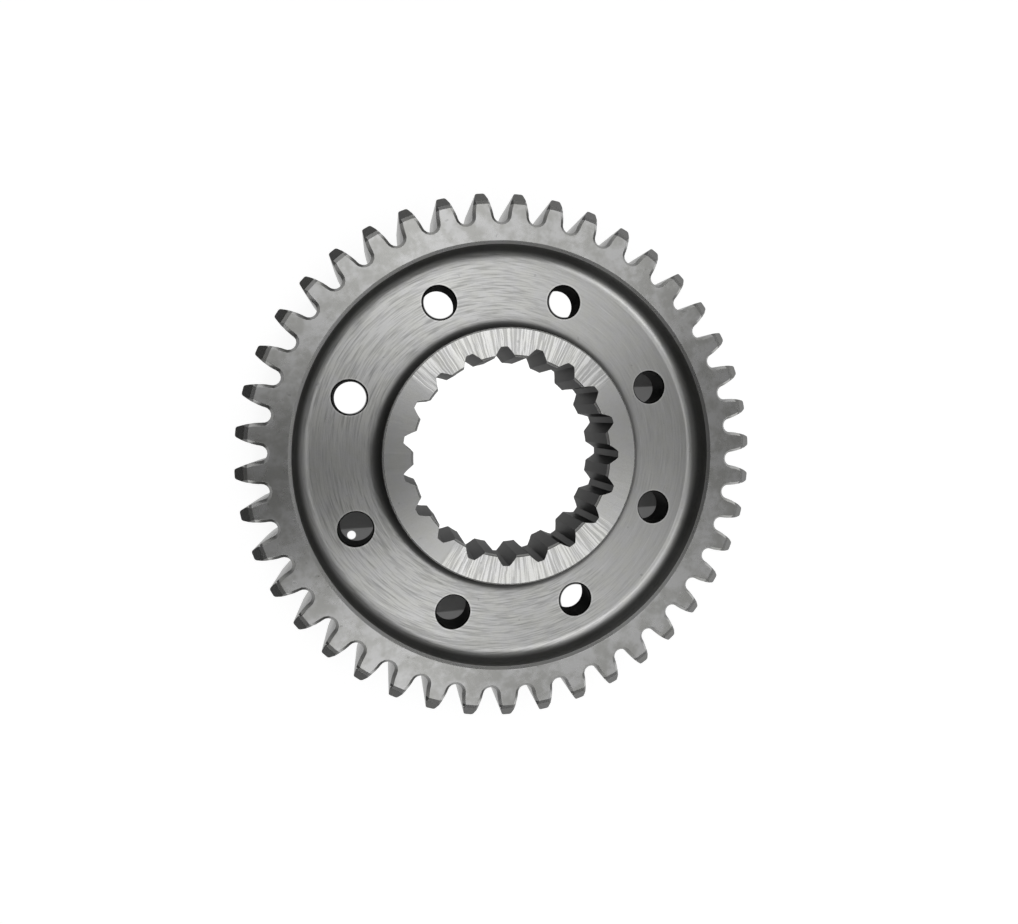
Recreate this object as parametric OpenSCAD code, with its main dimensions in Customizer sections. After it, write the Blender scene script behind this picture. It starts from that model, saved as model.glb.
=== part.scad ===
// Straight-toothed gear with a splined hub, a thin recessed web and a circle of holes.
// It lies on the back face of its rim, with the axis along +Z and the front face up.
// The origin is on the axis, in the plane that the back face of the rim rests on.
// All lengths are in millimetres and all angles in degrees.

/* [Teeth] */
// Number of teeth
teeth = 42; // [40:1:46]
// Diameter of the pitch circle, the number of teeth times the module of 4.25
pitch_d = 178.5; // [172:0.5:190]
// Pressure angle of the flanks at the pitch circle
pressure_angle = 17.5; // [15:0.5:20]
// Height of the teeth above the pitch circle
addendum = 4.18; // [3.6:0.02:4.4]
// Depth of the tooth gaps below the pitch circle
dedendum = 6.48; // [5.6:0.02:6.8]
// Thickness of one tooth along the pitch circle
tooth_thickness = 6.14; // [5.8:0.02:6.5]
// Radius on the corners of the tooth tips
tip_round = 0.8; // [0.4:0.1:1]
// Width of the toothed rim along the axis
face_width = 32; // [28:0.5:40]
// Edge break along the outline of the teeth, on both faces of the rim
tooth_edge = 1.1; // [0.3:0.1:1.3]
// Radial height of the sloping cut on the end of each tooth tip
end_slope_height = 4.5; // [3:0.1:5]
// Depth of that sloping cut along the axis
end_slope_depth = 2.7; // [1:0.1:4]
// Radial height of the gentler band with which that cut leaves the face
end_band_height = 1.3; // [0.5:0.1:2]
// Depth of that band along the axis
end_band_depth = 0.5; // [0.2:0.1:0.8]
// Angle of the first tooth from the X axis
tooth_turn = 0.6; // [-4:0.1:4]

/* [Rim and web] */
// Solid metal of the rim between the tooth gaps and its inner wall
rim_thickness = 7.6; // [6:0.1:10]
// Edge break on the inner edges of the rim
rim_edge = 1; // [0.5:0.1:1.5]
// Depth of the front recess below the front face of the rim
front_recess = 8.5; // [6:0.1:10]
// Thickness of the web
web_thickness = 11; // [9:0.1:14]
// Radius of the four fillets where the web meets the rim and the hub
web_fillet = 4.8; // [2:0.1:5]

/* [Web holes] */
// Number of holes
hole_count = 8; // [4:1:10]
// Diameter of the holes
hole_d = 12; // [8:0.1:13]
// Edge break on both ends of the holes
hole_edge = 0.4; // [0.2:0.1:0.8]
// Angle of the first hole from the X axis
hole_turn = 22.5; // [0:0.5:45]

/* [Hub] */
// Outer diameter of the hub
hub_d = 91.4; // [88:0.1:96]
// Length of the hub
hub_length = 27.8; // [24:0.1:30]
// How far the hub stands out of the front face of the rim
hub_proud = 0.9; // [0:0.1:2]
// Edge break on the outer edges of the hub
hub_edge = 0.5; // [0.2:0.1:1]

/* [Spline] */
// Number of grooves in the bore
grooves = 19; // [16:1:20]
// Pitch diameter of the spline
spline_pitch_d = 74.1; // [73.5:0.1:75]
// Pressure angle of the groove flanks
spline_pressure_angle = 37.5; // [30:0.5:40]
// Width of one groove along the pitch circle
groove_width = 5.2; // [4.8:0.1:5.6]
// Diameter across the bottoms of the grooves
spline_major_d = 77.7; // [77:0.1:79]
// Diameter of the bore between the grooves
bore_d = 70.4; // [69:0.1:71.5]
// Edge break on both ends of the bore
bore_edge = 0.7; // [0.3:0.1:1.2]
// Angle of the first groove from the X axis
spline_turn = -1.9; // [-9:0.1:9]

/* [Hidden] */
$fn = 120;

pitch_r = pitch_d / 2;
base_r = pitch_r * cos(pressure_angle);
tip_r = pitch_r + addendum;
root_r = pitch_r - dedendum;
rim_r = root_r - rim_thickness;
split_r = rim_r + rim_thickness / 2;
hub_r = hub_d / 2;
bore_r = bore_d / 2;
hub_top = face_width + hub_proud;
hub_bottom = hub_top - hub_length;
web_top = face_width - front_recess;
web_bottom = web_top - web_thickness;
hole_circle_r = (hub_r + rim_r) / 2;
spline_pitch_r = spline_pitch_d / 2;
spline_base_r = spline_pitch_r * cos(spline_pressure_angle);

flank_steps = 4;
round_steps = 2;
root_steps = 4;
groove_steps = 4;
past = 1;

// Rolling geometry

function deg(radians) = radians * 180 / PI;
function polar(r, a) = [r * cos(a), r * sin(a)];
function direction(v) = atan2(v[1], v[0]);

// Involute angle of the circle of radius base at the distance r
function involute(base, r) = deg(tan(acos(base / r))) - acos(base / r);

// Length of the tangent from the point at distance r to the base circle
function string(r) = sqrt(max(0, r * r - base_r * base_r));

// Angle from the middle of a tooth to its flank at the distance r, or to the flank's parallel
// curve that lies shift further out into the gap
function flank(r, shift = 0) =
    deg(tooth_thickness / 2 / pitch_r + shift / base_r)
    + involute(base_r, pitch_r) - involute(base_r, max(r, base_r));

// Round bottom of a tooth gap, one arc that touches the root circle and both flanks

half_pitch = 180 / teeth;
gap_at_base = half_pitch - flank(base_r);

// Radius of that arc where it ends on the straight part of the flank below the base circle
low_root_round = root_r * sin(gap_at_base) / (1 - sin(gap_at_base));
root_is_low = (root_r + low_root_round) * cos(gap_at_base) <= base_r;

// Radius of that arc where it ends on the involute, found by halving the interval
function high_root_round(low, high, turns = 40) =
    let (mid = (low + high) / 2)
    turns == 0 ? mid
    : flank(root_r + mid, mid) > half_pitch
        ? high_root_round(low, mid, turns - 1)
        : high_root_round(mid, high, turns - 1);

root_round = root_is_low ? low_root_round : high_root_round(0, 2 * low_root_round);
root_centre_r = root_r + root_round;

// Round corner of a tooth tip, one arc that touches the tip circle and the flank

tip_centre_r = tip_r - tip_round;
tip_centre = polar(tip_centre_r, flank(tip_centre_r, -tip_round));

// Outline of a tooth. Each entry is a point and the direction that points straight out of the
// metal there, so that the same entries give the outline at any edge break.

// Entries along an arc from the angle a to the angle b, both ends included. A hollow arc has the
// metal outside it.
function arc(centre, r, a, b, steps, hollow = false) =
    [for (i = [0 : steps])
        let (t = a + (b - a) * i / steps)
        [centre + polar(r, t), hollow ? polar(-1, t) : polar(1, t)]];

// Entry on the involute where the string that unwinds from the base circle is l long
function unwound(l) =
    let (t = flank(base_r) - deg(l / base_r))
    [polar(base_r, t) + polar(l, t + 90), polar(1, t + 90)];

tip_end = string(tip_centre_r) + tip_round;
root_end = root_is_low ? 0 : string(root_centre_r) - root_round;
root_centre = polar(root_centre_r, half_pitch);
root_contact = root_is_low
    ? polar(root_centre_r * cos(gap_at_base), flank(base_r))
    : unwound(root_end)[0];

// One side of a tooth, from the tip down to the middle of the next gap
tip_side = arc(tip_centre, tip_round, direction(tip_centre),
    direction(unwound(tip_end)[0] - tip_centre), round_steps);
flank_side = [for (i = [1 : flank_steps - 1])
    unwound(tip_end + (root_end - tip_end) * i / flank_steps)];
root_side = arc(root_centre, root_round,
    direction(root_contact - root_centre), direction(-root_centre), root_steps, true);
tooth_side = concat(tip_side, flank_side, root_side);

function turned(p, a) = [p[0] * cos(a) - p[1] * sin(a), p[0] * sin(a) + p[1] * cos(a)];
function mirrored(p) = [p[0], -p[1]];

// Point i of a tooth's side, moved into the metal by inset. The round corner of the tip takes no
// more than its own radius, and a flank stays clear of the middle of the tooth.
function side_point(i, inset) =
    let (e = tooth_side[i], most = i <= round_steps ? 0.9 * tip_round : 0.8 * e[0][1])
    e[0] - min(inset, most) * e[1];

// Whole outline, tooth by tooth: up one side and down the other
function outline(inset) =
    let (last = len(tooth_side) - 1, side = [for (i = [0 : last]) side_point(i, inset)])
    [for (k = [0 : teeth - 1])
        let (a = tooth_turn + 360 * k / teeth)
        each concat(
            [for (i = [last - 1 : -1 : 0]) turned(mirrored(side[i]), a)],
            [for (i = [0 : last]) turned(side[i], a)])];

// Toothed bar a little longer than the rim. Its outline draws in towards both ends, so that the
// faces of the rim cut it where the edge break is done.
module toothed_bar() {
    reach = 0.3;
    rings = [
        [-reach, tooth_edge + reach],
        [tooth_edge, 0],
        [face_width - tooth_edge, 0],
        [face_width + reach, tooth_edge + reach]];
    n = teeth * (2 * len(tooth_side) - 1);
    top_ring = (len(rings) - 1) * n;
    low_centre = top_ring + n;
    high_centre = low_centre + 1;
    polyhedron(
        points = concat(
            [for (ring = rings) each [for (p = outline(ring[1])) [p[0], p[1], ring[0]]]],
            [[0, 0, -reach], [0, 0, face_width + reach]]),
        faces = concat(
            [for (start = [0 : n : top_ring - n], i = [0 : n - 1])
                let (a = start + i, b = start + (i + 1) % n)
                [a, a + n, b + n, b]],
            [for (i = [0 : n - 1]) [low_centre, i, (i + 1) % n]],
            [for (i = [0 : n - 1]) [high_centre, top_ring + (i + 1) % n, top_ring + i]]));
}

// Turned blank

// Fillet in the corner at the origin, between the two axes
module corner_fillet(r) {
    difference() {
        square(r);
        translate([r, r]) circle(r);
    }
}

// Section of the hub, the web and the inner part of the rim
module body_section() {
    polygon([
        [bore_r + bore_edge, hub_bottom],
        [hub_r - hub_edge, hub_bottom],
        [hub_r, hub_bottom + hub_edge],
        [hub_r, web_bottom],
        [rim_r, web_bottom],
        [rim_r, rim_edge],
        [rim_r + rim_edge, 0],
        [split_r, 0],
        [split_r, face_width],
        [rim_r + rim_edge, face_width],
        [rim_r, face_width - rim_edge],
        [rim_r, web_top],
        [hub_r, web_top],
        [hub_r, hub_top - hub_edge],
        [hub_r - hub_edge, hub_top],
        [bore_r + bore_edge, hub_top],
        [bore_r, hub_top - bore_edge],
        [bore_r, hub_bottom + bore_edge]]);
    translate([hub_r, web_top]) corner_fillet(web_fillet);
    translate([rim_r, web_top]) mirror([1, 0]) corner_fillet(web_fillet);
    translate([hub_r, web_bottom]) mirror([0, 1]) corner_fillet(web_fillet);
    translate([rim_r, web_bottom]) mirror([1, 0]) mirror([0, 1]) corner_fillet(web_fillet);
}

// Section of the outer part of the rim, as high as the teeth. The sloping cut on each end starts
// as a gentler band.
module ring_section() {
    out = tip_r + past;
    low = tip_r - end_slope_height;
    bend = low + end_band_height;
    steepness = (end_slope_depth - end_band_depth) / (tip_r - bend);
    rise = end_band_depth + steepness * (out - bend);
    polygon([
        [split_r, 0],
        [low, 0],
        [bend, end_band_depth],
        [out, rise],
        [out, face_width - rise],
        [bend, face_width - end_band_depth],
        [low, face_width],
        [split_r, face_width]]);
}

module toothed_ring() {
    intersection() {
        rotate_extrude() ring_section();
        toothed_bar();
    }
}

// Splined bore

// Angle from the middle of a groove to its flank at the distance r
function groove_flank(r) =
    deg(groove_width / 2 / spline_pitch_r)
    + involute(spline_base_r, spline_pitch_r) - involute(spline_base_r, r);

module groove_outline() {
    low = bore_r - past;
    high = spline_major_d / 2 + past / 2;
    rs = [for (i = [0 : groove_steps]) low + (high - low) * i / groove_steps];
    polygon(concat(
        [for (r = rs) polar(r, -groove_flank(r))],
        [for (i = [groove_steps : -1 : 0]) polar(rs[i], groove_flank(rs[i]))]));
}

module spline_cut() {
    translate([0, 0, hub_bottom - past])
        linear_extrude(hub_length + 2 * past)
            intersection() {
                circle(d = spline_major_d);
                for (k = [0 : grooves - 1])
                    rotate(spline_turn + 360 * k / grooves) groove_outline();
            }
}

// Holes through the web

module hole_cut() {
    mouth = hole_d + 2 * (hole_edge + past);
    translate([0, 0, web_bottom - past]) cylinder(d = hole_d, h = web_thickness + 2 * past);
    translate([0, 0, web_top - hole_edge])
        cylinder(d1 = hole_d, d2 = mouth, h = hole_edge + past);
    translate([0, 0, web_bottom - past])
        cylinder(d1 = mouth, d2 = hole_d, h = hole_edge + past);
}

module gear() {
    color("silver")
    difference() {
        union() {
            rotate_extrude() body_section();
            toothed_ring();
        }
        spline_cut();
        for (k = [0 : hole_count - 1])
            rotate(hole_turn + 360 * k / hole_count) translate([hole_circle_r, 0, 0]) hole_cut();
    }
}

gear();
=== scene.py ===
import math
from types import SimpleNamespace

import bpy
from mathutils import Matrix, Vector

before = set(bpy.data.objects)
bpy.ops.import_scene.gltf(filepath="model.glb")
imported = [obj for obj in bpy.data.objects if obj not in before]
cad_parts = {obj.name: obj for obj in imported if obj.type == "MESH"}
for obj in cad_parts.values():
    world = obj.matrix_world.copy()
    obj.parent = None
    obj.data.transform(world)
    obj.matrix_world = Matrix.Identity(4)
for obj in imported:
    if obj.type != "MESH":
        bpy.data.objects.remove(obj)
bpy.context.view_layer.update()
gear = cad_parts["gear"]

MM = 0.001

# Sizes of the gear in metres, as in the CAD source
FACE = 0.032
BORE_R = 0.0352
MAJOR_R = 0.03885
HUB_R = 0.0457
RIM_R = 0.07517
ROOT_R = 0.08277
SLOPE_R = 0.08893
TIP_R = 0.09343
HOLE_CIRCLE_R = 0.060435
HOLE_R = 0.006
HOLE_COUNT = 8
# The first hole lies half a step from the X axis
FIRST_HOLE = 0.5

# Camera as fitted to the photograph: angles in degrees, its place in millimetres, the rest in pixels
AZIMUTH = -12.008475
ELEVATION = 1.153490
TURN = -2.35583
BACK = 229.624
RIGHT = 1.937
UP = 9.604
FOCAL_LENGTH = 646.988
MIDDLE_X = 519.185
MIDDLE_Y = 429.276
PHOTO_WIDTH = 1018.0
PHOTO_HEIGHT = 924.0
SENSOR_WIDTH = 36.0
CLIP_START = 0.01
CLIP_END = 20.0

# Where each surface is, as steps that are multiplied. A step with two numbers is 0 at the first and
# 1 at the second. A step with three is 1 within the second of the first, and falls to 0 over the third.
# They read r, the distance from the axis, level, which is 1 on a face across the axis and 0 on a wall
# along it, c, the cosine of the angle round the axis, z, and the distance from the nearest web hole.
INSIDE_RIM = [("r", HUB_R + 0.1 * MM, HUB_R + 0.3 * MM), ("r", RIM_R + 0.3 * MM, RIM_R + 0.1 * MM)]
ON_TEETH = ("r", ROOT_R - 3.0 * MM, ROOT_R - 2.0 * MM)
ON_TIPS = ("r", SLOPE_R - 0.1 * MM, SLOPE_R + 0.1 * MM)
ZONES = {
    "hub": [("level", 0.90, 0.97), ("r", HUB_R + 2.0 * MM, HUB_R + 0.5 * MM)],
    "web": [("r", HUB_R + 0.5 * MM, HUB_R + 3.5 * MM), ("r", RIM_R - 0.3 * MM, RIM_R - 1.8 * MM)],
    # Walls and steep fillets inside the rim, whose dark tone is painted shade
    "steep": [*INSIDE_RIM, ("level", 0.97, 0.50)],
    # Painted shade: the web darkens towards the foot of the hub
    "near_hub": [*INSIDE_RIM, ("r", HUB_R + 6.5 * MM, HUB_R + 1.0 * MM)],
    # Painted highlight: a lighter line on the web where it turns up to the rim, on the +X side only
    "web_rim": [("r", RIM_R - 3.6 * MM, 0.5 * MM, 0.7 * MM), ("c", 0.3, 0.9)],
    "hub_edge": [("r", HUB_R - 0.1 * MM, 0.22 * MM, 0.1 * MM), ("level", 0.64, 0.33, 0.03)],
    "rim": [("r", RIM_R, RIM_R + 0.3 * MM)],
    "rim_edge": [("r", RIM_R + 0.5 * MM, 0.4 * MM, 0.2 * MM), ("level", 0.72, 0.2, 0.04)],
    "slope": [ON_TIPS, ("level", 0.88, 0.84), ("level", 0.6, 0.7)],
    "band": [ON_TIPS, ("level", 0.93, 0.02, 0.02)],
    "flank": [ON_TEETH, ("level", 0.6, 0.4)],
    "tooth_edge": [ON_TEETH, ("level", 0.7, 0.12, 0.05)],
    "tip": [("r", TIP_R - 0.9 * MM, TIP_R - 0.6 * MM), ("level", 0.3, 0.2)],
    "gap": [("r", ROOT_R + 2.8 * MM, ROOT_R + 1.2 * MM)],
    "bore": [("r", MAJOR_R + 1.2 * MM, MAJOR_R + 0.8 * MM), ("level", 0.85, 0.6)],
    "land_edge": [("r", BORE_R + 0.6 * MM, BORE_R + 0.4 * MM), ("level", 0.6, 0.25, 0.05)],
    "deep": [("z", 30.0 * MM, 10.0 * MM)],
    "hole_wall": [("from_hole", HOLE_R + 0.6 * MM, HOLE_R + 0.4 * MM), ("level", 0.97, 0.9)],
    "hole_mouth": [("from_hole", HOLE_R + 0.42 * MM, HOLE_R + 0.32 * MM)],
    "hole_ring": [("from_hole", HOLE_R + 0.7 * MM, 0.1 * MM, 0.18 * MM)],
}
# How much of the mask of a hole its mouth takes
MOUTH_SHARE = 0.9

# Sectors with stronger marks on the web, and sectors of the hub where its streaks get a painted highlight,
# as middle and half width in degrees, and their soft border in radians
WEB_SECTORS = [(122, 32), (-115, 42)]
WEB_SECTOR_SOFT = 0.5
HUB_GLINT_SECTORS = [(88, 51), (-82, 44)]
HUB_SECTOR_SOFT = 0.05

# Rings of tool marks: scale of their noise round the axis and across the rings, its detail and roughness
RINGS = (3.0, 1900.0, 3.0, 0.6)
BROAD = (1.2, 420.0, 2.0, 0.5)
SCORES = (3.0, 1400.0, 2.0, 0.5)
FIRST_CUT = (5.0, 1750.0, 2.0, 0.5)
SECOND_CUT = (7.0, 1500.0, 2.0, 0.5)
# Middle of the second cut's rings in metres, a little off the axis
SECOND_CUT_X = -0.006
SECOND_CUT_Y = 0.004
# How strong one of the two cuts is, and what is taken off so that cuts both darken and brighten
CUT_SHARE = 0.5
CUT_MIDDLE = 0.62
# Streaks across the hub's faces: scale of their noise round the axis and along the radius, and how far
# another noise shifts it
STREAKS_ROUND = 58.0
STREAKS_ALONG = 50.0
STREAKS_WANDER = 0.7
# Scale of the noise of the marks on the flanks, in X and Y, and along the axis
GRIND_ACROSS = 1800.0
GRIND_ALONG = 60.0
# Noise all over: scale, detail and roughness
WANDER = (260.0, 1.0, 0.5)
GRAIN = (1500.0, 2.0, 0.6)
MOTTLE = (90.0, 4.0, 0.6)
PATCHES = (170.0, 3.0, 0.6)
SPECKS = (480.0, 1.0, 0.4)
# Between which values of their noise the marks go from none to full
SCORES_STEP = (0.58, 0.70)
CUT_STEP = (0.38, 0.52)
LINES_STEP = (0.36, 0.62)
PATCHES_STEP = (0.36, 0.64)
SPECKS_STEP = (0.76, 0.82)

# Tones of the metal. Where there are two, a mark or a place blends from the first to the second.
TONES = {
    "web": (0.55, 0.60),
    "rim": (0.46, 0.60),
    "plain_hub": (0.62, 0.70),
    # Painted highlight: in the hub's sectors its streaks blend up to near white, as glints
    "hub_streak_glints": (0.60, 0.98),
    "hub_edge": 0.9,
    # Painted shade: the walls and steep fillets of the recess
    "steep": (0.15, 0.21),
    # Painted shade at the foot of the hub, darkest on its wall
    "near_hub": (0.17, 0.12),
    "rim_edge": 0.64,
    # Painted shade: the holes' walls and mouths near black
    "hole": 0.018,
    "band": 0.48,
    # Painted shade: the tooth slopes toned dark, standing in for part of the dark that they mirror
    "slope": (0.13, 0.18),
    "tooth_edge": (0.44, 0.26),
    # Painted shade: the tooth flanks toned dark, a little lighter further from the front face
    "flank": (0.16, 0.27),
    "tip": (0.40, 0.52),
    # Painted shade: the spline bore near black, a little lighter further from the front face
    "bore": (0.022, 0.05),
    "land_edge": 0.6,
}
# What the tone is multiplied by, from where a mark or place is 0 to where it is 1. Blue multiplies the
# blue part only.
GAINS = {
    "rings": (0.96, 1.10),
    # Painted highlight on the web by the rim
    "web_rim": (1.0, 1.35),
    "hole_ring": (1.0, 1.18),
    "grind": (0.8, 1.2),
    "bore": (0.6, 1.4),
    "specks": (1.0, 0.80),
    "grain": (0.94, 1.06),
    "blue": (0.965, 0.995),
}
# How strongly the cuts change the tone, outside and inside the web's sectors
CUT_GAIN = (0.10, 0.44)
ROUGHNESS = {
    "all": (0.24, 0.31),
    "web": 0.30,
    "hub": (0.18, 0.26),
    "steep": 0.36,
    "slope": 0.21,
    "bore": 0.50,
}
# Heights of the marks in metres, and the depth of the specks
HEIGHTS = {"rings": 12e-6, "broad": 20e-6, "cuts": 8e-6, "streaks": 20e-6, "mottle": 6e-6,
           "grain": 1.2e-6, "specks": 6e-6}
ANISOTROPY = 0.7
QUARTER_TURN = 0.25

# Edges, with angles in degrees between two faces and lengths in metres
WELD_DISTANCE = 2e-6
SHARP_ANGLE = 24
SLOPE_BOUND_ANGLE = 12.5
# The bounds of the tooth slopes lie this near to an end of the gear, and this little below SLOPE_R
SLOPE_DEPTH = 3.5 * MM
SLOPE_MARGIN = 0.4 * MM
SAME_PLANE_ANGLE = 0.4
ROUNDED_ANGLE = 28
TIP_ROUNDING = 0.45 * MM
TIP_MARGIN = 1.0 * MM
# Rounding of the other edges as a share of the tips'
EDGE_SHARE = 0.49
ROUNDING_SEGMENTS = 3
NORMAL_WEIGHT = 100

# Ground, with lengths in metres
FLOOR_HALF = 20.0
FLOOR_Z = -0.03 * MM
FLOOR_GREY = 0.35
# How white the open ground is, and the ground inside the rim, which glows whiter as painted light against
# the gear's shadow
WHITES = (0.88, 1.0)
# How dark the painted shadow on the ground under the web is, and its paler stripes of painted light
SHADOW_GREYS = (0.022, 0.09)
# The stripes run along X: the middle in Y and half the width
STRIPES = [(-0.0315, 0.0044), (-0.0675, 0.0045), (0.0195, 0.0043)]
STRIPE_SOFT = 0.6 * MM
# Where the camera sees white ground through a hole of the web: x, y and radius
WHITE_SPOTS = [(0.0300, 0.0598, 0.006),
               (-0.0209, 0.0598, 0.006),
               (-0.0569, 0.0238, 0.006),
               (0.0300, -0.0630, 0.006),
               (-0.0586, -0.0292, 0.0014)]
SPOT_SOFT = 0.4 * MM

# Strength of the room's light, and what it gains towards +X
ROOM = 0.134
ROOM_X = 0.07
# The same for all that lies low, towards +X and +Y, and the height at which it has faded out
HORIZON = 0.52
HORIZON_X = 0.36
HORIZON_Y = 0.12
HORIZON_TOP = 0.22
# Soft panels of light: azimuth, elevation, half angle of the even middle, soft border, strength
PANELS = [(60, 67, 4, 21, 0.89),
          (120, 59, 15, 13, 0.66),
          (253, 59, 4, 15, 1.40),
          (-48, 68, 4, 14, 0.70)]


def make_camera():
    azimuth = math.radians(AZIMUTH)
    elevation = math.radians(ELEVATION)
    back = Vector((math.sin(azimuth) * math.cos(elevation), math.sin(elevation),
                   math.cos(azimuth) * math.cos(elevation)))
    right = Vector((0, 1, 0)).cross(back).normalized()
    up = back.cross(right)
    place = (back * BACK + right * RIGHT + up * UP) * MM
    place.z += FACE
    data = bpy.data.cameras.new("camera")
    data.sensor_width = SENSOR_WIDTH
    data.lens = FOCAL_LENGTH * SENSOR_WIDTH / PHOTO_WIDTH
    data.shift_x = 0.5 - MIDDLE_X / PHOTO_WIDTH
    data.shift_y = MIDDLE_Y / PHOTO_WIDTH - PHOTO_HEIGHT / (2 * PHOTO_WIDTH)
    data.clip_start = CLIP_START
    data.clip_end = CLIP_END
    camera = bpy.data.objects.new("camera", data)
    bpy.context.scene.collection.objects.link(camera)
    axes = Matrix((right, up, back)).transposed().to_4x4()
    camera.matrix_world = Matrix.Rotation(math.radians(TURN), 4, "Z") @ Matrix.Translation(place) @ axes
    bpy.context.scene.camera = camera


class Tree:
    """Adds nodes to a tree. A plain number is set on the socket itself, and a socket is linked."""

    def __init__(self, tree):
        self.tree = tree
        tree.nodes.clear()

    def node(self, kind, **settings):
        n = self.tree.nodes.new(kind)
        for key, value in settings.items():
            setattr(n, key, value)
        return n

    def put(self, socket, value):
        if isinstance(value, bpy.types.NodeSocket):
            self.tree.links.new(value, socket)
        else:
            socket.default_value = value

    def fill(self, n, values):
        """Puts the values on the node's first sockets, and gives back its first output."""
        for socket, value in zip(n.inputs, values):
            self.put(socket, value)
        return n.outputs[0]

    def math(self, operation, *values):
        return self.fill(self.node("ShaderNodeMath", operation=operation), values)

    def add(self, a, b):
        return self.math("ADD", a, b)

    def sub(self, a, b):
        return self.math("SUBTRACT", a, b)

    def mul(self, a, b):
        return self.math("MULTIPLY", a, b)

    def most(self, *values):
        """The largest of the values."""
        result = values[0]
        for value in values[1:]:
            result = self.math("MAXIMUM", result, value)
        return result

    def length(self, a, b):
        return self.math("SQRT", self.add(self.mul(a, a), self.mul(b, b)))

    def split(self, vector):
        n = self.node("ShaderNodeSeparateXYZ")
        self.put(n.inputs[0], vector)
        return n.outputs

    def vector(self, x, y, z):
        return self.fill(self.node("ShaderNodeCombineXYZ"), (x, y, z))

    def near(self, value, centre, half, soft):
        """1 where value is within half of centre, falling to 0 over soft."""
        off = self.math("ABSOLUTE", self.sub(value, centre))
        return self.step(off, half + soft, half)

    def step(self, value, low, high):
        """0 at low and 1 at high, smooth between."""
        n = self.node("ShaderNodeMapRange", interpolation_type="SMOOTHSTEP", clamp=True)
        rising = low <= high
        n.inputs["From Min"].default_value = min(low, high)
        n.inputs["From Max"].default_value = max(low, high)
        n.inputs["To Min"].default_value = 0.0 if rising else 1.0
        n.inputs["To Max"].default_value = 1.0 if rising else 0.0
        self.put(n.inputs["Value"], value)
        return n.outputs["Result"]

    def noise(self, vector, scale, detail, roughness):
        n = self.node("ShaderNodeTexNoise", noise_dimensions="3D")
        self.put(n.inputs["Vector"], vector)
        n.inputs["Scale"].default_value = scale
        n.inputs["Detail"].default_value = detail
        n.inputs["Roughness"].default_value = roughness
        return n.outputs["Fac"]

    def blend(self, factor, a, b):
        """a at factor 0 and b at factor 1, for numbers."""
        n = self.node("ShaderNodeMix", data_type="FLOAT", clamp_factor=True)
        self.put(n.inputs[0], factor)
        self.put(n.inputs[2], a)
        self.put(n.inputs[3], b)
        return n.outputs[0]

    def cover(self, value, layers):
        """Lays each layer over the value where the layer's mask is 1."""
        for mask, layer in layers:
            value = self.blend(mask, value, layer)
        return value


def read_point(t):
    """Where a point of the gear is and which way its surface faces."""
    place = t.node("ShaderNodeTexCoord")
    at = place.outputs["Object"]
    x, y, z = t.split(at)
    r = t.length(x, y)
    from_axis = t.most(r, MM)
    return SimpleNamespace(
        at=at, x=x, y=y, z=z, r=r,
        c=t.math("DIVIDE", x, from_axis),
        s=t.math("DIVIDE", y, from_axis),
        angle=t.math("ARCTAN2", y, x),
        level=t.math("ABSOLUTE", t.split(place.outputs["Normal"])[2]))


def distance_from_hole(t, point):
    """Distance from the axis of the nearest web hole."""
    turns = t.sub(t.mul(point.angle, HOLE_COUNT / math.tau), FIRST_HOLE)
    off = t.mul(t.sub(turns, t.math("ROUND", turns)), math.tau / HOLE_COUNT)
    across = t.mul(point.r, t.math("SINE", off))
    along = t.sub(t.mul(point.r, t.math("COSINE", off)), HOLE_CIRCLE_R)
    return t.length(across, along)


def in_sectors(t, angle, sectors, soft):
    """1 in any of the sectors, falling to 0 over soft."""
    return t.most(*[t.near(angle, math.radians(middle), math.radians(half), soft)
                    for middle, half in sectors])


def find_surfaces(t, point):
    """Masks that are 1 on the surface that they are named after."""
    point.from_hole = distance_from_hole(t, point)
    masks = SimpleNamespace()
    for name, steps in ZONES.items():
        mask = None
        for read, *bounds in steps:
            shape = t.step if len(bounds) == 2 else t.near
            part = shape(getattr(point, read), *bounds)
            mask = part if mask is None else t.mul(mask, part)
        setattr(masks, name, mask)
    masks.tooth_edge = t.mul(masks.tooth_edge, t.sub(1.0, masks.slope))
    masks.hole = t.most(masks.hole_wall, t.mul(masks.hole_mouth, MOUTH_SHARE))
    masks.marked = in_sectors(t, point.angle, WEB_SECTORS, WEB_SECTOR_SOFT)
    # The hub's sectors where its streaks get a painted highlight
    masks.fan = in_sectors(t, point.angle, HUB_GLINT_SECTORS, HUB_SECTOR_SOFT)
    return masks


def ring_noise(t, point, across, breaks, per_metre, detail, roughness):
    """Rings that break up along the way round."""
    vector = t.vector(t.mul(point.c, breaks), t.mul(point.s, breaks), t.mul(across, per_metre))
    return t.noise(vector, 1.0, detail, roughness)


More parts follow.
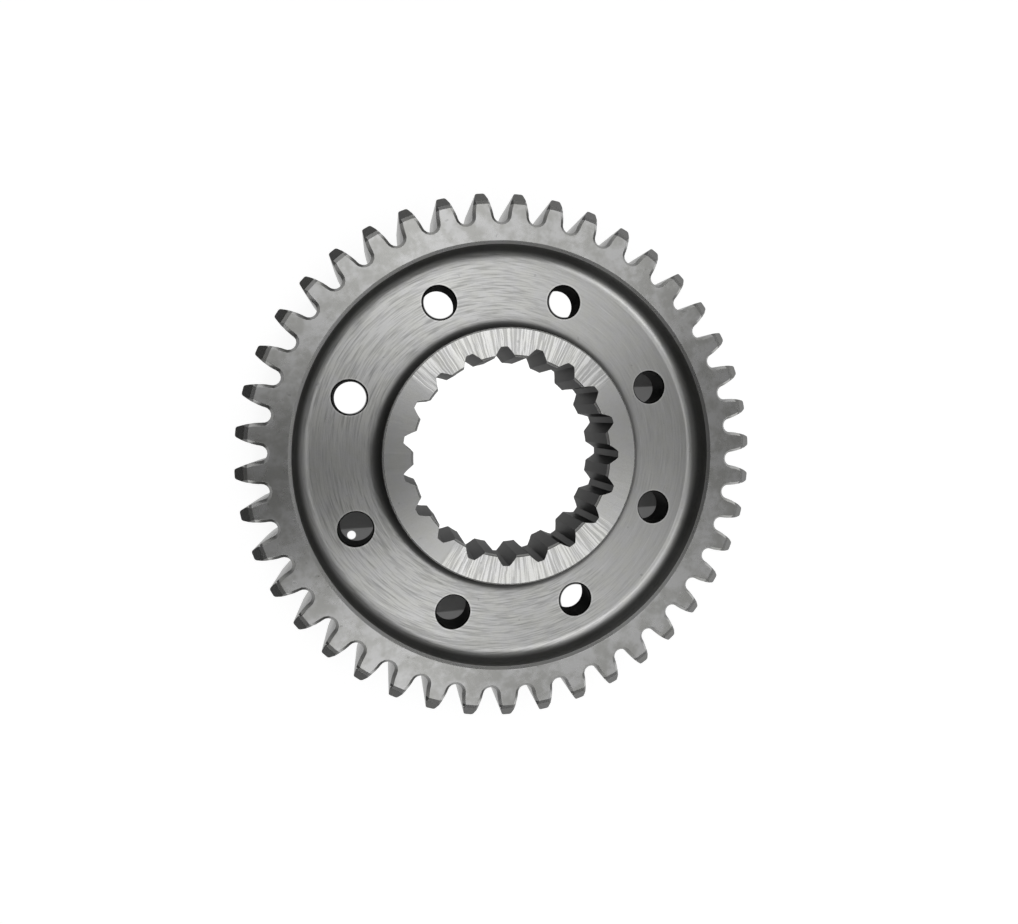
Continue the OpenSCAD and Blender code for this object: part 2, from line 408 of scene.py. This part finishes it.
def make_marks(t, point):
    """Tool marks, grain and stains from 0 to 1. Only cuts is a number on both sides of 0."""
    aside = t.length(t.sub(point.x, SECOND_CUT_X), t.sub(point.y, SECOND_CUT_Y))
    cuts = t.add(t.step(ring_noise(t, point, point.r, *FIRST_CUT), *CUT_STEP),
                 t.step(ring_noise(t, point, aside, *SECOND_CUT), *CUT_STEP))
    wander = t.mul(t.noise(point.at, *WANDER), STREAKS_WANDER)
    streaks = t.noise(t.vector(t.add(t.mul(point.c, STREAKS_ROUND), wander),
                               t.add(t.mul(point.s, STREAKS_ROUND), wander),
                               t.mul(point.r, STREAKS_ALONG)), 1.0, 1.0, 0.5)
    along_flank = t.vector(t.mul(point.x, GRIND_ACROSS), t.mul(point.y, GRIND_ACROSS),
                           t.mul(point.z, GRIND_ALONG))
    return SimpleNamespace(
        rings=ring_noise(t, point, point.r, *RINGS),
        broad=ring_noise(t, point, point.r, *BROAD),
        scores=t.step(ring_noise(t, point, point.r, *SCORES), *SCORES_STEP),
        cuts=t.sub(t.mul(cuts, CUT_SHARE), CUT_MIDDLE),
        streaks=streaks,
        lines=t.step(streaks, *LINES_STEP),
        grind=t.noise(along_flank, 1.0, 2.0, 0.5),
        grain=t.noise(point.at, *GRAIN),
        mottle=t.noise(point.at, *MOTTLE),
        patches=t.step(t.noise(point.at, *PATCHES), *PATCHES_STEP),
        specks=t.step(t.noise(point.at, *SPECKS), *SPECKS_STEP))


def steel_tone(t, on, marks):
    """Tone of the metal, with painted shade in the recess, the holes, the bore and on the teeth's slopes
    and flanks, and painted highlights on the web by the rim and on the hub. Each surface covers those
    before it.
    """
    tone = t.blend(on.rim, t.blend(marks.scores, *TONES["web"]), t.blend(marks.patches, *TONES["rim"]))
    tone = t.mul(tone, t.blend(t.mul(marks.rings, on.web), *GAINS["rings"]))
    cuts = t.mul(t.mul(marks.cuts, on.web), t.blend(on.marked, *CUT_GAIN))
    tone = t.mul(tone, t.add(1.0, cuts))
    # Painted highlight: a lighter line on the web by the rim, on the +X side
    tone = t.mul(tone, t.blend(on.web_rim, *GAINS["web_rim"]))
    plain_hub = t.blend(marks.mottle, *TONES["plain_hub"])
    # Painted highlight: the hub's streaks are bright only within its sectors
    hub_streak_glints = t.blend(marks.lines, *TONES["hub_streak_glints"])
    tone = t.cover(tone, [
        (on.hub, t.blend(on.fan, plain_hub, hub_streak_glints)),
        (on.hub_edge, TONES["hub_edge"]),
        # Painted shade on the walls and steep fillets of the recess
        (on.steep, t.blend(marks.mottle, *TONES["steep"])),
        # Painted shade towards the foot of the hub
        (on.near_hub, t.blend(on.steep, *TONES["near_hub"])),
        (on.rim_edge, TONES["rim_edge"])])
    tone = t.mul(tone, t.blend(on.hole_ring, *GAINS["hole_ring"]))
    # Painted shade on the tooth flanks
    flank = t.mul(t.blend(on.deep, *TONES["flank"]), t.blend(marks.grind, *GAINS["grind"]))
    # Painted shade in the bore
    bore = t.mul(t.blend(on.deep, *TONES["bore"]), t.blend(marks.mottle, *GAINS["bore"]))
    tone = t.cover(tone, [
        # Painted shade inside the holes
        (on.hole, TONES["hole"]),
        (on.band, TONES["band"]),
        # Painted shade on the tooth slopes
        (on.slope, t.blend(marks.grain, *TONES["slope"])),
        (on.tooth_edge, t.blend(on.gap, *TONES["tooth_edge"])),
        (on.flank, flank),
        (on.tip, t.blend(marks.mottle, *TONES["tip"])),
        (on.bore, bore),
        (on.land_edge, TONES["land_edge"])])
    tone = t.mul(tone, t.blend(marks.specks, *GAINS["specks"]))
    return t.mul(tone, t.blend(marks.grain, *GAINS["grain"]))


def steel_roughness(t, on, marks):
    return t.cover(t.blend(marks.mottle, *ROUGHNESS["all"]), [
        (t.mul(on.web, marks.broad), ROUGHNESS["web"]),
        (on.hub, t.blend(marks.streaks, *ROUGHNESS["hub"])),
        (on.steep, ROUGHNESS["steep"]),
        (on.slope, ROUGHNESS["slope"]),
        (on.bore, ROUGHNESS["bore"])])


def steel_height(t, on, marks):
    """Height of the marks, for the bump."""
    on_web = t.add(t.mul(marks.rings, HEIGHTS["rings"]), t.mul(marks.broad, HEIGHTS["broad"]))
    cuts = t.mul(t.mul(marks.cuts, on.web), HEIGHTS["cuts"])
    streaks = t.mul(t.mul(marks.streaks, t.mul(on.hub, on.fan)), HEIGHTS["streaks"])
    uneven = t.add(t.mul(marks.mottle, HEIGHTS["mottle"]), t.mul(marks.grain, HEIGHTS["grain"]))
    height = t.add(t.add(t.mul(on.web, on_web), cuts), streaks)
    return t.sub(t.add(height, uneven), t.mul(marks.specks, HEIGHTS["specks"]))


def make_steel():
    """Turned and ground steel with its marks, a little less blue where it is stained."""
    material = bpy.data.materials.new("machined_steel")
    material.use_nodes = True
    t = Tree(material.node_tree)
    shader = t.node("ShaderNodeBsdfPrincipled")
    t.put(t.node("ShaderNodeOutputMaterial").inputs["Surface"], shader.outputs[0])
    point = read_point(t)
    on = find_surfaces(t, point)
    marks = make_marks(t, point)

    tone = steel_tone(t, on, marks)
    blue = t.mul(tone, t.blend(marks.patches, *GAINS["blue"]))
    colour = t.fill(t.node("ShaderNodeCombineColor", mode="RGB"), (tone, tone, blue))
    t.put(shader.inputs["Base Color"], colour)
    t.put(shader.inputs["Roughness"], steel_roughness(t, on, marks))
    shader.inputs["Metallic"].default_value = 1.0

    # The grooves run round the axis, so the metal mirrors the light in a wide fan across them
    shader.inputs["Anisotropic"].default_value = ANISOTROPY
    shader.inputs["Anisotropic Rotation"].default_value = QUARTER_TURN
    tangent = t.node("ShaderNodeTangent", direction_type="RADIAL", axis="Z")
    t.put(shader.inputs["Tangent"], tangent.outputs[0])

    bump = t.node("ShaderNodeBump")
    bump.inputs["Strength"].default_value = 1.0
    bump.inputs["Distance"].default_value = 1.0
    t.put(bump.inputs["Height"], steel_height(t, on, marks))
    t.put(shader.inputs["Normal"], bump.outputs[0])
    return material


def mesh_group(name):
    """Empty geometry group with its two sockets, and what both groups below pick edges by."""
    group = bpy.data.node_groups.new(name, "GeometryNodeTree")
    group.interface.new_socket(name="Geometry", in_out="INPUT", socket_type="NodeSocketGeometry")
    group.interface.new_socket(name="Geometry", in_out="OUTPUT", socket_type="NodeSocketGeometry")
    t = Tree(group)
    x, y, z = t.split(t.node("GeometryNodeInputPosition").outputs[0])
    angle = t.node("GeometryNodeInputMeshEdgeAngle").outputs["Unsigned Angle"]
    return group, t, SimpleNamespace(r=t.length(x, y), z=z, angle=angle)


def smooth_group():
    """Welds the mesh and shades it smoothly, but for the sharp edges and the bounds of the tooth slopes."""
    group, t, edge = mesh_group("smooth_by_angle")
    merge = t.node("GeometryNodeMergeByDistance")
    merge.inputs["Distance"].default_value = WELD_DISTANCE
    drop = t.node("GeometryNodeRemoveAttribute")
    drop.inputs["Name"].default_value = "custom_normal"
    faces = t.node("GeometryNodeSetShadeSmooth", domain="FACE")
    faces.inputs["Shade Smooth"].default_value = True
    edges = t.node("GeometryNodeSetShadeSmooth", domain="EDGE")
    edges.inputs["Shade Smooth"].default_value = False
    sharp = t.math("GREATER_THAN", edge.angle, math.radians(SHARP_ANGLE))
    from_middle = t.math("ABSOLUTE", t.sub(edge.z, FACE / 2))
    at_end = t.math("GREATER_THAN", from_middle, FACE / 2 - SLOPE_DEPTH)
    on_slope = t.mul(t.math("GREATER_THAN", edge.r, SLOPE_R - SLOPE_MARGIN), at_end)
    bound = t.mul(on_slope, t.math("GREATER_THAN", edge.angle, math.radians(SLOPE_BOUND_ANGLE)))
    t.put(edges.inputs["Selection"], t.most(sharp, bound))
    geometry = t.node("NodeGroupInput").outputs[0]
    for n in (merge, drop, faces, edges):
        t.put(n.inputs["Geometry"], geometry)
        geometry = n.outputs[0]
    t.put(t.node("NodeGroupOutput").inputs[0], geometry)
    return group


def weight_group():
    """Bevel weights of the sharp edges, with about twice the rounding at the tips of the teeth."""
    group, t, edge = mesh_group("edge_weights")
    tip = t.math("GREATER_THAN", edge.r, TIP_R - TIP_MARGIN)
    sharp = t.math("GREATER_THAN", edge.angle, math.radians(ROUNDED_ANGLE))
    store = t.node("GeometryNodeStoreNamedAttribute", data_type="FLOAT", domain="EDGE")
    store.inputs["Name"].default_value = "bevel_weight_edge"
    t.put(store.inputs["Value"], t.mul(sharp, t.add(t.mul(tip, 1 - EDGE_SHARE), EDGE_SHARE)))
    t.put(store.inputs["Geometry"], t.node("NodeGroupInput").outputs[0])
    t.put(t.node("NodeGroupOutput").inputs[0], store.outputs[0])
    return group


def finish_edges():
    """Rounds the gear's edges a little and shades its curved faces smoothly."""
    gear.modifiers.new("smooth", "NODES").node_group = smooth_group()
    flat = gear.modifiers.new("flat_faces", "DECIMATE")
    flat.decimate_type = "DISSOLVE"
    flat.angle_limit = math.radians(SAME_PLANE_ANGLE)
    gear.modifiers.new("edge_weights", "NODES").node_group = weight_group()
    bevel = gear.modifiers.new("edge_round", "BEVEL")
    bevel.width = TIP_ROUNDING
    bevel.segments = ROUNDING_SEGMENTS
    bevel.limit_method = "WEIGHT"
    bevel.use_clamp_overlap = True
    even = gear.modifiers.new("even_normals", "WEIGHTED_NORMAL")
    even.mode = "FACE_AREA"
    even.weight = NORMAL_WEIGHT
    even.keep_sharp = True


def floor_glow(t):
    """Strength of the ground's own light: white, with a painted shadow under the web and paler stripes of
    painted light in it, but for the white spots.
    """
    x, y = t.split(t.node("ShaderNodeTexCoord").outputs["Object"])[:2]
    r = t.length(x, y)
    rays = t.node("ShaderNodeLightPath").outputs
    lit = t.most(*[t.step(t.length(t.sub(x, spot_x), t.sub(y, spot_y)), spot_r + SPOT_SOFT, spot_r)
                   for spot_x, spot_y, spot_r in WHITE_SPOTS])
    covered = t.mul(t.step(r, HUB_R - 2.0 * MM, HUB_R), t.step(r, RIM_R + 4.0 * MM, RIM_R + 2.0 * MM))
    # Painted shadow on the ground under the web
    dark = t.mul(covered, t.sub(1.0, t.mul(lit, rays["Is Camera Ray"])))
    # Paler stripes of painted light within that painted shadow
    pale = t.most(*[t.near(y, middle, half, STRIPE_SOFT) for middle, half in STRIPES])
    # Painted light: the ground inside the rim glows whiter against the gear's shadow
    white = t.blend(t.step(r, RIM_R + 2.0 * MM, RIM_R), *WHITES)
    seen = t.most(rays["Is Camera Ray"], rays["Is Glossy Ray"], rays["Is Transmission Ray"])
    return t.mul(seen, t.blend(dark, white, t.blend(pale, *SHADOW_GREYS)))


def make_stage():
    """Ground that the gear lies on, white to the camera and in reflections."""
    mesh = bpy.data.meshes.new("floor")
    half = FLOOR_HALF
    mesh.from_pydata([(-half, -half, 0), (half, -half, 0), (half, half, 0), (-half, half, 0)],
                     [], [(0, 1, 2, 3)])
    floor = bpy.data.objects.new("floor", mesh)
    floor.location.z = FLOOR_Z
    bpy.context.scene.collection.objects.link(floor)
    material = bpy.data.materials.new("floor_white")
    material.use_nodes = True
    t = Tree(material.node_tree)
    diffuse = t.node("ShaderNodeBsdfDiffuse")
    diffuse.inputs["Color"].default_value = (FLOOR_GREY, FLOOR_GREY, FLOOR_GREY, 1.0)
    glow = t.node("ShaderNodeEmission")
    glow.inputs["Color"].default_value = (1.0, 1.0, 1.0, 1.0)
    t.put(glow.inputs["Strength"], floor_glow(t))
    both = t.fill(t.node("ShaderNodeAddShader"), (diffuse.outputs[0], glow.outputs[0]))
    t.put(t.node("ShaderNodeOutputMaterial").inputs["Surface"], both)
    mesh.materials.append(material)


def make_world():
    """Dim room with a pale horizon and soft panels of light high above the gear."""
    world = bpy.data.worlds.new("studio")
    world.use_nodes = True
    bpy.context.scene.world = world
    t = Tree(world.node_tree)
    background = t.node("ShaderNodeBackground")
    t.put(t.node("ShaderNodeOutputWorld").inputs["Surface"], background.outputs[0])
    x, y, z = t.split(t.node("ShaderNodeTexCoord").outputs["Generated"])
    horizon = t.add(t.add(t.mul(x, HORIZON_X), t.mul(y, HORIZON_Y)), HORIZON)
    level = t.add(t.add(ROOM, t.mul(x, ROOM_X)), t.mul(t.step(z, HORIZON_TOP, 0.0), horizon))
    for azimuth, elevation, half, soft, strength in PANELS:
        a = math.radians(azimuth)
        e = math.radians(elevation)
        toward = (math.cos(e) * math.cos(a), math.cos(e) * math.sin(a), math.sin(e))
        cosine = t.add(t.add(t.mul(x, toward[0]), t.mul(y, toward[1])), t.mul(z, toward[2]))
        lit = t.step(cosine, math.cos(math.radians(half + soft)), math.cos(math.radians(half)))
        level = t.add(level, t.mul(lit, strength))
    background.inputs["Color"].default_value = (1.0, 1.0, 1.0, 1.0)
    t.put(background.inputs["Strength"], level)


make_camera()
gear.material_slots[0].material = make_steel()
finish_edges()
make_stage()
make_world()

scene = bpy.context.scene
scene.view_settings.view_transform = "Standard"
